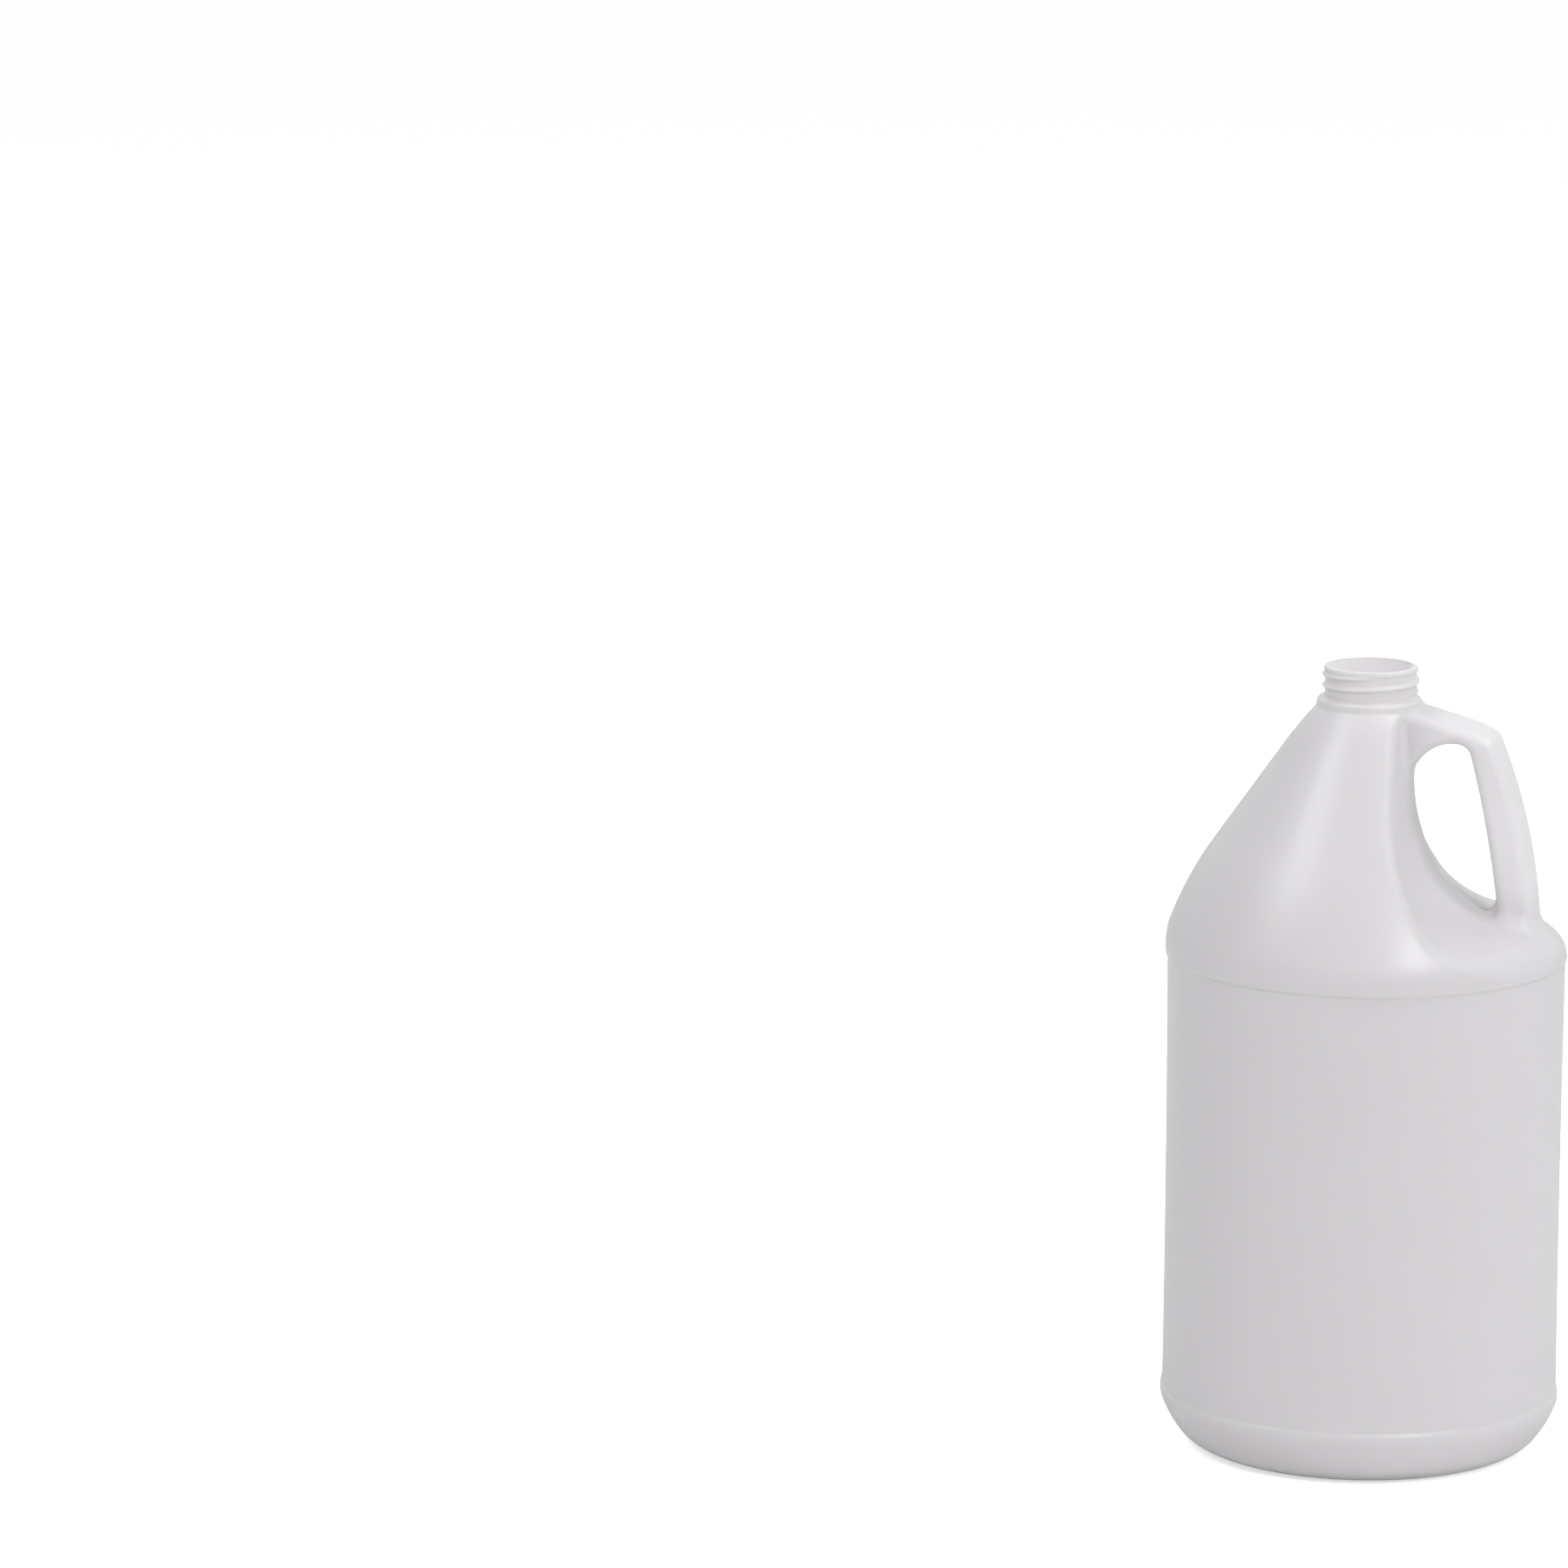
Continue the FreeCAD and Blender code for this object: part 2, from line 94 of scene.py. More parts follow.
# %% Sizes of the pocket and handle
POCKET_TOP_X = 14.2 * MM
POCKET_TOP_DROP = 22.5 * MM
POCKET_TOP_LEAN = 6.0
POCKET_LOW_LEAN = 33.0
POCKET_BEND_DROP = 45.0 * MM
POCKET_BEND_ROUND = 92.0 * MM
POCKET_DRAFT = 8.0
POCKET_ROOF_ROUND = 7.0 * MM
POCKET_ROOF_SLOPE = 45.0
SHELF_RISE = 7.2 * MM
SHELF_SLOPE = 14.5
SHELF_CORNER = 11.0 * MM
HANDLE_WIDTH = 27.0 * MM
HANDLE_CROWN = 2.8 * MM
HOLE_CROWN = 0.6 * MM
HANDLE_ROOT_DROP = 14.3 * MM
HANDLE_KNEE = 21.5 * MM
HANDLE_KNEE_DROP = 20.7 * MM
HANDLE_KNEE_ROUND = 40.0 * MM
ELBOW_REACH = 28.8 * MM
ELBOW_DROP = 24.3 * MM
ELBOW_ROUND = 6.5 * MM
GRIP_SETBACK = 10.2 * MM
GRIP_BOW = 3.1 * MM
HOLE_BOW = 1.3 * MM
GRIP_TOP_DEPTH = 11.8 * MM
GRIP_FOOT_DEPTH = 15.4 * MM
HOLE_TOP_DROP = 28.1 * MM
HOLE_WEB_REACH = 5.0 * MM
HOLE_WEB_SLOPE = 50.0
HOLE_WEB_ROUND = 14.0 * MM
HOLE_CORNER_ROUND = 5.5 * MM
BOW_EASE = 0.15

# %% [markdown]
# ## Drawing outlines
# A mould is drawn with straight lines and arcs that run smoothly into each other. A small pen that travels
# like a car does the same: it goes straight, or it turns on a radius, and never leaves a corner. The distance
# to such an outline is exact, because the distance to a line or an arc is school geometry. What lies on the
# pen's left is inside, and gets a minus sign.

# %% The pen
FAR = 1e9
TINY = 1e-9


class Pen:
    """Draws lines and tangent arcs in a plane of two coordinates, x across and z up."""

    def __init__(self, x, z, heading):
        self.x, self.z, self.heading = x, z, math.radians(heading)
        self.parts = []

    def line(self, length):
        ux, uz = math.cos(self.heading), math.sin(self.heading)
        if length > TINY:
            self.parts.append(("line", self.x, self.z, ux, uz, length))
        self.x += ux * length
        self.z += uz * length
        return self

    def arc(self, radius, turn):
        side = 1.0 if turn > 0.0 else -1.0
        turn = math.radians(turn)
        cx = self.x - side * radius * math.sin(self.heading)
        cz = self.z + side * radius * math.cos(self.heading)
        middle = self.heading + turn / 2.0 - side * math.pi / 2.0
        self.parts.append(("arc", cx, cz, radius, side, middle, math.cos(abs(turn) / 2.0)))
        self.heading += turn
        self.x = cx + side * radius * math.sin(self.heading)
        self.z = cz - side * radius * math.cos(self.heading)
        return self


def distance(parts, x, z):
    """Distance from points to an outline, below zero on the left of the pen's travel."""
    best = np.full(np.shape(x), FAR)
    sign = np.ones(np.shape(x))
    for kind, ax, az, *rest in parts:
        dx, dz = x - ax, z - az
        if kind == "line":
            ux, uz, length = rest
            along = np.clip(dx * ux + dz * uz, 0.0, length)
            away = np.hypot(dx - along * ux, dz - along * uz)
            side = np.where(ux * dz - uz * dx > 0.0, -1.0, 1.0)
        else:
            radius, bend, middle, reach = rest
            out = np.hypot(dx, dz)
            within = dx * math.cos(middle) + dz * math.sin(middle) >= out * reach - TINY
            away = np.where(within, np.abs(out - radius), FAR)
            side = np.where(out > radius, bend, -bend)
        nearer = away < best
        best = np.where(nearer, away, best)
        sign = np.where(nearer, side, sign)
    return best * sign


half_circle = Pen(0.0, -1.0, 0.0).arc(1.0, 180.0).parts
print("seen from x = 2, the edge of a unit circle is", distance(half_circle, np.array([2.0]), 0.0)[0], "away")

# %% [markdown]
# ## The body's outline
# The outline starts under the middle of the base, goes out over the standing ring and the heel, up the
# label panel between its two bumper bands, and in over the shoulder. The cone's length isn't chosen: it is
# whatever brings the shoulder to the collar, and the same sum gives the height of the shoulder band.

# %% Outline of the body
def reach(radius, start, turn):
    """Travel across and up of a left-hand arc that starts at that heading."""
    a, b = math.radians(start), math.radians(start + turn)
    return radius * (math.sin(b) - math.sin(a)), radius * (math.cos(a) - math.cos(b))


def chain(arcs, start):
    """Travel of several left-hand arcs one after the other."""
    across, up = 0.0, 0.0
    for radius, turn in arcs:
        x, z = reach(radius, start, turn)
        across, up, start = across + x, up + z, start + turn
    return across, up


CONE_SLOPE = sum(turn for radius, turn in SHOULDER)
LAST_TURN = CONE_SLOPE + CONE_TOP[1]
COLLAR_TOP = HEIGHT - NECK_HEIGHT
low_arcs, low_rise = chain(SHOULDER, 90.0)
top_arcs, top_rise = chain((CONE_TOP,), 90.0 + CONE_SLOPE)
crease_in, crease_up = reach(COLLAR_CREASE, 90.0, LAST_TURN)
cone_run = BAND_RADIUS - COLLAR_RADIUS + low_arcs + top_arcs + crease_in
CONE_LENGTH = cone_run / math.sin(math.radians(CONE_SLOPE))
SHOULDER_RISE = low_rise + top_rise + crease_up + CONE_LENGTH * math.cos(math.radians(CONE_SLOPE))
BAND_TOP = COLLAR_TOP - COLLAR_ROUND - COLLAR_HEIGHT - SHOULDER_RISE
SHOULDER_Z = BAND_TOP - SHOULDER_BAND / 2.0
RIM_Z = SHOULDER_Z + SHELF_RISE
STEP_TURN = math.degrees(math.acos(1.0 - BUMPER_STEP / (BUMPER_ROUND + BUMPER_CREASE)))
BASE_STEP_TURN = math.degrees(math.acos(1.0 - BUMPER_STEP / (BASE_STEP_ROUND + BUMPER_CREASE)))
STEP_HEIGHT = (BUMPER_ROUND + BUMPER_CREASE) * math.sin(math.radians(STEP_TURN))


def body_outline():
    """The outside of the jug without pocket and handle, and over the lip to the axis."""
    ring = BAND_RADIUS - chain(HEEL, 0.0)[0]
    slope = math.radians(PUSH_UP_SLOPE)
    rounds = PUSH_UP_ROUND + RING_ROUND
    ramp = (PUSH_UP - rounds * (1.0 - math.cos(slope))) / math.sin(slope)
    flat = ring - RING_WIDTH - rounds * math.sin(slope) - ramp * math.cos(slope)
    pen = Pen(0.0, PUSH_UP, 0.0).line(flat)
    pen.arc(PUSH_UP_ROUND, -PUSH_UP_SLOPE).line(ramp).arc(RING_ROUND, PUSH_UP_SLOPE).line(RING_WIDTH)
    for radius, turn in HEEL:
        pen.arc(radius, turn)
    pen.line(BASE_BAND).arc(BASE_STEP_ROUND, BASE_STEP_TURN).arc(BUMPER_CREASE, -BASE_STEP_TURN)
    pen.line(BAND_TOP - SHOULDER_BAND - STEP_HEIGHT - pen.z)
    pen.arc(BUMPER_CREASE, -STEP_TURN).arc(BUMPER_ROUND, STEP_TURN).line(SHOULDER_BAND)
    for radius, turn in SHOULDER:
        pen.arc(radius, turn)
    pen.line(CONE_LENGTH).arc(*CONE_TOP)
    pen.arc(COLLAR_CREASE, -LAST_TURN).line(COLLAR_HEIGHT).arc(COLLAR_ROUND, 90.0)
    pen.line(COLLAR_RADIUS - COLLAR_ROUND - NECK_RADIUS - NECK_ROOT_ROUND).arc(NECK_ROOT_ROUND, -90.0)
    under_lip = (LIP_RADIUS - NECK_RADIUS) / 2.0
    pen.line(HEIGHT - LIP_HEIGHT - 2.0 * under_lip - pen.z).arc(under_lip, -90.0).arc(under_lip, 90.0)
    pen.line(HEIGHT - LIP_ROUND - pen.z).arc(LIP_ROUND, 90.0).line(LIP_RADIUS - LIP_ROUND)
    return pen.parts


BODY = body_outline()
print("body outline has", len(BODY), "lines and arcs; shoulder band at", round(SHOULDER_Z / MM, 1), "mm")

# %% [markdown]
# ## The pocket
# Two things bound the pocket: a wall that leans back towards the neck, and a shelf that slopes down to the
# bumper band. Both halves of the mould have to leave the jug sideways, so the wall falls back a few degrees
# to each side of the middle. That is called draft, and it is why the wall has a faint nose down its middle.

# %% Pocket
def wall_outline():
    """Side outline of the pocket's wall, drawn upwards from well below the shelf."""
    top_z, bend_z = HEIGHT - POCKET_TOP_DROP, HEIGHT - POCKET_BEND_DROP
    top_lean, low_lean = math.radians(POCKET_TOP_LEAN), math.radians(POCKET_LOW_LEAN)
    bend_x = POCKET_TOP_X + (top_z - bend_z) * math.tan(top_lean)
    low_x = bend_x + POCKET_BEND_ROUND * (math.cos(top_lean) - math.cos(low_lean))
    low_z = bend_z - POCKET_BEND_ROUND * (math.sin(low_lean) - math.sin(top_lean))
    tail = BAND_RADIUS
    pen = Pen(low_x + tail * math.sin(low_lean), low_z - tail * math.cos(low_lean), 90.0 + POCKET_LOW_LEAN)
    pen.line(tail).arc(POCKET_BEND_ROUND, POCKET_TOP_LEAN - POCKET_LOW_LEAN)
    pen.line((top_z - bend_z) / math.cos(top_lean))
    pen.arc(POCKET_ROOF_ROUND, POCKET_ROOF_SLOPE - 90.0 - POCKET_TOP_LEAN)
    return pen.line(2.0 * BAND_RADIUS).parts


def shelf_outline():
    """Side outline of the shelf, from the axis out."""
    slope = math.radians(SHELF_SLOPE)
    pen = Pen(0.0, RIM_Z + BAND_RADIUS * math.tan(slope), -SHELF_SLOPE)
    return pen.line(3.0 * BAND_RADIUS).parts


POCKET_WALL, SHELF = wall_outline(), shelf_outline()
DRAFT = math.tan(math.radians(POCKET_DRAFT))
print("pocket wall has", len(POCKET_WALL), "lines and arcs")

# %% [markdown]
# ## The handle, seen from the side
# The handle is a plate with a hole in it. Each outline is a loop of corners, and each corner says how round
# it is. A bowed stretch is a corner too, with a very large round. The plate runs on into the neck and the
# shelf, where it is swallowed, and the hole runs on into the body.

# %% Handle outlines
def round_loop(corners):
    """A closed outline through corners of x, z and radius, anticlockwise."""
    points = [Vector((x, z)) for x, z, radius in corners]
    count = len(points)
    cuts, turns, goes = [], [], []
    for index, point in enumerate(points):
        came = (point - points[index - 1]).normalized()
        go = (points[(index + 1) % count] - point).normalized()
        turn = math.atan2(came.x * go.y - came.y * go.x, came.dot(go))
        goes.append(go)
        turns.append(math.degrees(turn))
        cuts.append(corners[index][2] * math.tan(abs(turn) / 2.0))
    start = points[0] + goes[0] * cuts[0]
    pen = Pen(start.x, start.y, math.degrees(math.atan2(goes[0].y, goes[0].x)))
    for index in range(count):
        following = (index + 1) % count
        run = (points[following] - points[index]).length - cuts[index] - cuts[following]
        pen.line(run).arc(corners[following][2], turns[following])
    return pen.parts


def bow_corner(start, end, bow):
    """The corner over the middle of a bowed stretch, and the radius of the bow's arc."""
    chord = end - start
    side = Vector((chord.y, -chord.x)).normalized()
    radius = (chord.length ** 2 / 4.0 + bow ** 2) / (2.0 * bow)
    corner = (start + end) / 2.0 + side * (2.0 * bow)
    return corner.x, corner.y, radius * (1.0 - BOW_EASE)


GRIP_FOOT = Vector((BAND_RADIUS - GRIP_SETBACK, RIM_Z))
ELBOW = Vector((COLLAR_RADIUS + ELBOW_REACH, HEIGHT - ELBOW_DROP))
LOW = RIM_Z - SHELF_CORNER


def handle_loop():
    """The handle's outer outline, filled in as far as the inside of the neck."""
    inside = BORE_RADIUS / 2.0
    knee = Vector((COLLAR_RADIUS + HANDLE_KNEE, HEIGHT - HANDLE_KNEE_DROP))
    root = Vector((COLLAR_RADIUS, HEIGHT - HANDLE_ROOT_DROP))
    rise = (root.y - knee.y) / (knee.x - root.x)
    return round_loop([
        (inside, LOW, HOLE_CORNER_ROUND), (GRIP_FOOT.x, LOW, HOLE_CORNER_ROUND),
        (GRIP_FOOT.x, GRIP_FOOT.y, HOLE_CORNER_ROUND), bow_corner(GRIP_FOOT, ELBOW, GRIP_BOW),
        (ELBOW.x, ELBOW.y, ELBOW_ROUND), (knee.x, knee.y, HANDLE_KNEE_ROUND),
        (inside, root.y + rise * (root.x - inside), HOLE_CORNER_ROUND)])


def hole_loop():
    """The gap for the fingers, running on into the body on the left and below."""
    top = HEIGHT - HOLE_TOP_DROP
    foot = Vector((GRIP_FOOT.x - GRIP_FOOT_DEPTH, RIM_Z))
    grip_top = Vector((ELBOW.x - GRIP_TOP_DEPTH, top))
    web_x = COLLAR_RADIUS + HOLE_WEB_REACH
    wall_top = Vector((POCKET_TOP_X - WALL / 2.0, HEIGHT - POCKET_TOP_DROP))
    wall_slope = math.tan(math.radians(POCKET_TOP_LEAN))
    web_slope = math.tan(math.radians(HOLE_WEB_SLOPE))
    drop = (wall_top.y - top + (web_x - wall_top.x) * web_slope) / (1.0 + wall_slope * web_slope)
    wall_x = wall_top.x + drop * wall_slope
    return round_loop([
        (wall_x, LOW, HOLE_CORNER_ROUND), (foot.x, LOW, HOLE_CORNER_ROUND),
        (foot.x, foot.y, HOLE_CORNER_ROUND), bow_corner(foot, grip_top, HOLE_BOW),
        (grip_top.x, grip_top.y, HOLE_CORNER_ROUND), (web_x, top, HOLE_WEB_ROUND),
        (wall_x, wall_top.y - drop, HOLE_WEB_ROUND)])


HANDLE, HOLE = handle_loop(), hole_loop()
print("handle outline has", len(HANDLE), "lines and arcs, and its hole", len(HOLE))

# %% [markdown]
# ## Rounding fields together
# The larger of two fields is what both forms share, and the smaller is the two joined. Near the edge between
# them the two numbers are mixed on a quarter circle, and the edge gets a round of just that radius. Taking a
# form away is sharing with its opposite.

# %% Rounded joins
def shared(a, b, radius):
    """What lies in both forms, with a round of that radius along the edge."""
    outer = np.hypot(np.maximum(a + radius, 0.0), np.maximum(b + radius, 0.0)) - radius
    return np.where((a > -radius) & (b > -radius), outer, np.maximum(a, b))


def joined(a, b, radius):
    """Both forms together, with a fillet of that radius in the corner."""
    return -shared(-a, -b, radius)


def ease(low_end, high_end, value):
    """0 below the low end, 1 above the high end and smooth between them."""
    t = np.clip((value - low_end) / (high_end - low_end), 0.0, 1.0)
    return t * t * (3.0 - 2.0 * t)


print("two walls meet at", shared(np.array([0.0]), np.array([0.0]), 1.0)[0].round(3))

# %% [markdown]
# ## The form of the jug
# On the real jug the pocket's edge is sharp where the plastic had little room to stretch and rounder towards
# the shelf, whose rim is nearly a shoulder of its own. The handle's fillets are small at the neck and wide at
# the foot. Three details are laid over the whole: the screw thread, the fine line where the two halves of the
# mould meet, and under the base the pinched scar where the tube of soft plastic was cut off. The pairs named
# BLEND say between which depths or heights one round passes into the other.

# %% Edges and details
EDGE_ROUND_HIGH = 2.6 * MM
EDGE_ROUND_RIM = 9.0 * MM
EDGE_BLEND = (2.0 * MM, 22.0 * MM)
OUTER_EDGE_ROUND = 3.4 * MM
HOLE_EDGE_ROUND = 3.4 * MM
ROOT_FILLET = 3.0 * MM
FOOT_FILLET = 7.0 * MM
FOOT_BLEND = (20.0 * MM, 40.0 * MM)
PANEL_WAIST = 0.3 * MM
THREAD_PITCH = 4.233 * MM
THREAD_RADIUS = 18.55 * MM
THREAD_HALF_WIDTH = 1.4 * MM
THREAD_START = -10.0
THREAD_TRAVEL = 650.0
THREAD_DROP = 10.0 * MM
THREAD_FADE = 35.0
LINE_HEIGHT = 0.20 * MM
LINE_WIDTH = 0.33 * MM
LINE_FADE = 0.4 * MM
SCAR_HEIGHT = 0.5 * MM
SCAR_WIDTH = 0.7 * MM
SCAR_LENGTH = 38.0 * MM
SCAR_TAPER = 0.9
PANEL_LOW = chain(HEEL, 0.0)[1] + BASE_BAND + STEP_HEIGHT
PANEL_HIGH = BAND_TOP - SHOULDER_BAND - STEP_HEIGHT


def turned(radius, z):
    """The turned body alone, with the label panel's slight waist."""
    from_middle = (2.0 * z - PANEL_LOW - PANEL_HIGH) / (PANEL_HIGH - PANEL_LOW)
    waist = PANEL_WAIST * np.clip(1.0 - from_middle ** 2, 0.0, 1.0)
    return distance(BODY, radius, z) + np.where(radius > BAND_RADIUS / 2.0, waist, 0.0)


def add_pocket(body, x, y, z):
    """The turned body with the pocket taken out and the handle joined on."""
    wall = distance(POCKET_WALL, x + np.abs(y) * DRAFT, z) * math.cos(math.radians(POCKET_DRAFT))
    room = shared(-wall, distance(SHELF, np.hypot(x, y), z), SHELF_CORNER)
    rim = ease(*EDGE_BLEND, wall)
    body = shared(body, -room, EDGE_ROUND_HIGH + (EDGE_ROUND_RIM - EDGE_ROUND_HIGH) * rim)
    half_width = HANDLE_WIDTH / 2.0
    out = np.abs(y) / half_width
    plate = shared(distance(HANDLE, x, z) + HANDLE_CROWN * out, np.abs(y) - half_width, OUTER_EDGE_ROUND)
    gap = distance(HOLE, x, z) - HOLE_CROWN * out
    grip = shared(plate, -gap, HOLE_EDGE_ROUND)
    foot = 1.0 - ease(RIM_Z + FOOT_BLEND[0], RIM_Z + FOOT_BLEND[1], z)
    return joined(body, grip, ROOT_FILLET + (FOOT_FILLET - ROOT_FILLET) * foot)


def filled(x, y, z):
    """The whole jug as one filled form, without its fine details."""
    value = turned(np.hypot(x, y), z)
    near = (x > -HANDLE_WIDTH / 2.0) & (z > LOW - SHELF_CORNER) & (z < COLLAR_TOP)
    value[near] = add_pocket(value[near], x[near], y[near], z[near])
    return value


def thread(angle, radius, z):
    """The screw thread: a rounded ridge that climbs right-handed and fades in and out."""
    field = np.full(np.shape(z), FAR)
    for turn in range(2):
        gone = (np.degrees(angle) - THREAD_START) % 360.0 + 360.0 * turn
        share = ease(0.0, THREAD_FADE, gone) * ease(0.0, THREAD_FADE, THREAD_TRAVEL - gone)
        centre = HEIGHT - THREAD_DROP + THREAD_PITCH * gone / 360.0
        off = np.clip((z - centre) / THREAD_HALF_WIDTH, -1.0, 1.0)
        crest = (THREAD_RADIUS - NECK_RADIUS) * share * (0.5 + 0.5 * np.cos(math.pi * off))
        field = np.minimum(field, np.where(crest > 0.0, radius - NECK_RADIUS - crest, FAR))
    return field


def outside(x, y, z):
    """The outside of the jug, with thread, mould line and scar."""
    value = filled(x, y, z)
    radius, angle = np.hypot(x, y), np.arctan2(y, x)
    neck = (z > COLLAR_TOP) & (z < HEIGHT - LIP_ROUND) & (radius > BORE_RADIUS)
    value[neck] = np.minimum(value[neck], thread(angle[neck], radius[neck], z[neck]))
    line = LINE_HEIGHT * np.exp(-(y / LINE_WIDTH) ** 2) * (z < COLLAR_TOP - COLLAR_ROUND)
    line = line * ease(0.0, LINE_FADE, BAND_RADIUS - radius) * ease(0.0, LINE_FADE, z)
    scar = SCAR_HEIGHT * np.exp(-(y / SCAR_WIDTH) ** 2) * (z < 2.0 * PUSH_UP)
    return value - line - scar * (1.0 - ease(SCAR_TAPER * SCAR_LENGTH, SCAR_LENGTH, radius))


def hollow(x, y, z):
    """The room inside: a wall's thickness in, and a straight bore up the neck that flares below it."""
    radius = np.hypot(x, y)
    flare = (radius - BORE_RADIUS - (COLLAR_TOP - z)) * math.sqrt(0.5)
    bore = np.minimum(radius - BORE_RADIUS, flare)
    return np.maximum(filled(x, y, np.minimum(z, HEIGHT - LIP_HEIGHT)) + WALL, bore)


probe = outside(np.array([0.0]), np.array([0.0]), np.array([HEIGHT / 2.0]))
print("the middle of the jug is", round(-probe[0] / MM, 1), "mm inside the skin")

# %% [markdown]
# ## Laying a net over the field
# Space around the axis is divided into small cells by angle, radius and height. Every cell that the skin
# passes through gets one corner of the net, and every cell edge that the skin crosses gets one face between
# the four cells round it. The divisions are close together where the form is tight, and far apart up the
# plain label panel. Because the cells run round the axis, so do the faces, and the thread comes out clean.

# %% The net
def levels(*stops):
    """Numbers from the first stop on, in steps: levels(0, (10, 1), (20, 5)) ends at 20."""
    values = [stops[0]]
    for end, step in stops[1:]:
        count = max(1, round((end - values[-1]) / step))
        values.extend(np.linspace(values[-1], end, count + 1)[1:])
    return np.array(values)


def sample(field, angles, radii, heights):
    """The field at every corner of the cells, worked out one half-plane at a time."""
    grid = np.empty((len(angles), len(radii), len(heights)), dtype=np.float32)
    across, up = np.meshgrid(radii, heights, indexing="ij")
    for index, angle in enumerate(angles):
        grid[index] = field(across * math.cos(angle), across * math.sin(angle), up)
    return grid


AROUND = {0: (2, 1), 1: (0, 2), 2: (1, 0)}


def lay_net(field, angles, radii, heights):
    """Corners and faces of a net over the field's zero; the faces look outwards."""
    grid = sample(field, angles, radii, heights)
    turns = len(angles)
    shape = (turns, len(radii) - 1, len(heights) - 1)
    steps = [np.append(angles, angles[0] + 2.0 * math.pi), radii, heights]
    total, count = np.zeros(shape + (3,)), np.zeros(shape)
    crossings = []
    for axis in range(3):
        if axis == 0:
            start, end = grid, np.roll(grid, -1, axis=0)
        elif axis == 1:
            start, end = grid[:, :-1], grid[:, 1:]
        else:
            start, end = grid[:, :, :-1], grid[:, :, 1:]
        found = np.nonzero((start < 0.0) != (end < 0.0))
        a, b = start[found].astype(float), end[found].astype(float)
        spot = [steps[n][found[n]] for n in range(3)]
        spot[axis] = spot[axis] + a / (a - b) * (steps[axis][found[axis] + 1] - spot[axis])
        angle, radius, z = spot
        places = np.stack([radius * np.cos(angle), radius * np.sin(angle), z], axis=1)
        cells = []
        for first, second in ((1, 1), (0, 1), (0, 0), (1, 0)):
            cell = list(found)
            cell[AROUND[axis][0]] = cell[AROUND[axis][0]] - first
            cell[AROUND[axis][1]] = cell[AROUND[axis][1]] - second
            cell[0] = cell[0] % turns
            good = (cell[1] >= 0) & (cell[1] < shape[1]) & (cell[2] >= 0) & (cell[2] < shape[2])
            kept = tuple(part[good] for part in cell)
            np.add.at(total, kept, places[good])
            np.add.at(count, kept, 1.0)
            cells.append((cell, good))
        crossings.append((found, a < 0.0, cells))
    active = count > 0.0
    number = np.full(shape, -1)
    number[active] = np.arange(active.sum())
    corners = total[active] / count[active][:, None]
    faces = []
    for found, from_inside, cells in crossings:
        good = np.all([cell[1] for cell in cells], axis=0)
        quads = np.stack([number[tuple(part[good] for part in cell[0])] for cell in cells], axis=1)
        turned_round = ~from_inside[good]
        quads[turned_round] = quads[turned_round][:, ::-1]
        faces.extend(quads.tolist())
    found, from_inside, cells = crossings[2]
    for k, leaving in zip(found[2][(found[0] == 0) & (found[1] == 0)], from_inside[found[1] == 0]):
        ring = number[:, 0, k]
        corners = np.append(corners, [corners[ring].mean(axis=0)], axis=0)
        middle = len(corners) - 1
        for one, other in zip(ring.tolist(), np.roll(ring, -1).tolist()):
            faces.append([middle, one, other] if leaving else [middle, other, one])
    return corners, faces


# %% [markdown]
# ## Pulling the corners onto the skin
# The net's corners are averages and lie a little off the skin. The field itself says how far off, and its
# slope says which way to go, so a few steps put every corner on the skin to within a hair. The same slope
# gives the exact direction in which the skin faces there, and the faces are shaded with that.

# %% Slope and pull
SLOPE_STEP = 0.02 * MM
FACING_STEP = 0.06 * MM
LEAST_SLOPE = 0.2
LONGEST_PULL = 0.8 * MM


def slope_of(field, points, step=SLOPE_STEP):
    """The direction in which the field grows fastest, and how fast."""
    columns = []
    for axis in range(3):
        shift = np.zeros(3)
        shift[axis] = step
        ahead, behind = points + shift, points - shift
        columns.append((field(*ahead.T) - field(*behind.T)) / (2.0 * step))
    return np.stack(columns, axis=1)


def pull(field, points, rounds=4):
    """Moves points onto the field's zero."""
    for turn in range(rounds):
        slope = slope_of(field, points)
        size = np.maximum((slope ** 2).sum(axis=1), LEAST_SLOPE)
        go = -slope * (field(*points.T) / size)[:, None]
        length = np.linalg.norm(go, axis=1)
        go *= np.minimum(1.0, LONGEST_PULL / np.maximum(length, TINY))[:, None]
        points = points + go
    return points


def facing(field, points):
    """Unit direction in which the skin faces at each point."""
    slope = slope_of(field, points, FACING_STEP)
    return slope / np.maximum(np.linalg.norm(slope, axis=1), TINY)[:, None]


# %% [markdown]
# ## The outer skin
# The columns are narrow on the side of the pocket and the handle and wide round the back, with a few extra
# ones beside the mould line. Radii and heights are in stretches, and each pair is where a stretch ends and
# how large its cells are, in millimetres.

# %% Outer skin
COARSE, FINE, FINE_REACH = math.radians(3.0), math.radians(1.25), math.radians(80.0)
BESIDE_LINE, CLEAR_OF_LINE = np.radians([0.12, 0.3, 0.55]), math.radians(0.8)
RADIUS_CELLS = ((15.0, 3.0), (21.0, 0.35), (78.0, 1.3))
BELOW_BASE = -1.2
HEIGHT_CELLS = ((8.0, 0.6), (20.0, 1.0), (25.5, 0.3), (187.0, 8.0), (191.5, 0.3), (199.0, 0.9),
                (216.0, 0.8), (284.0, 1.25), (303.0, 0.33))

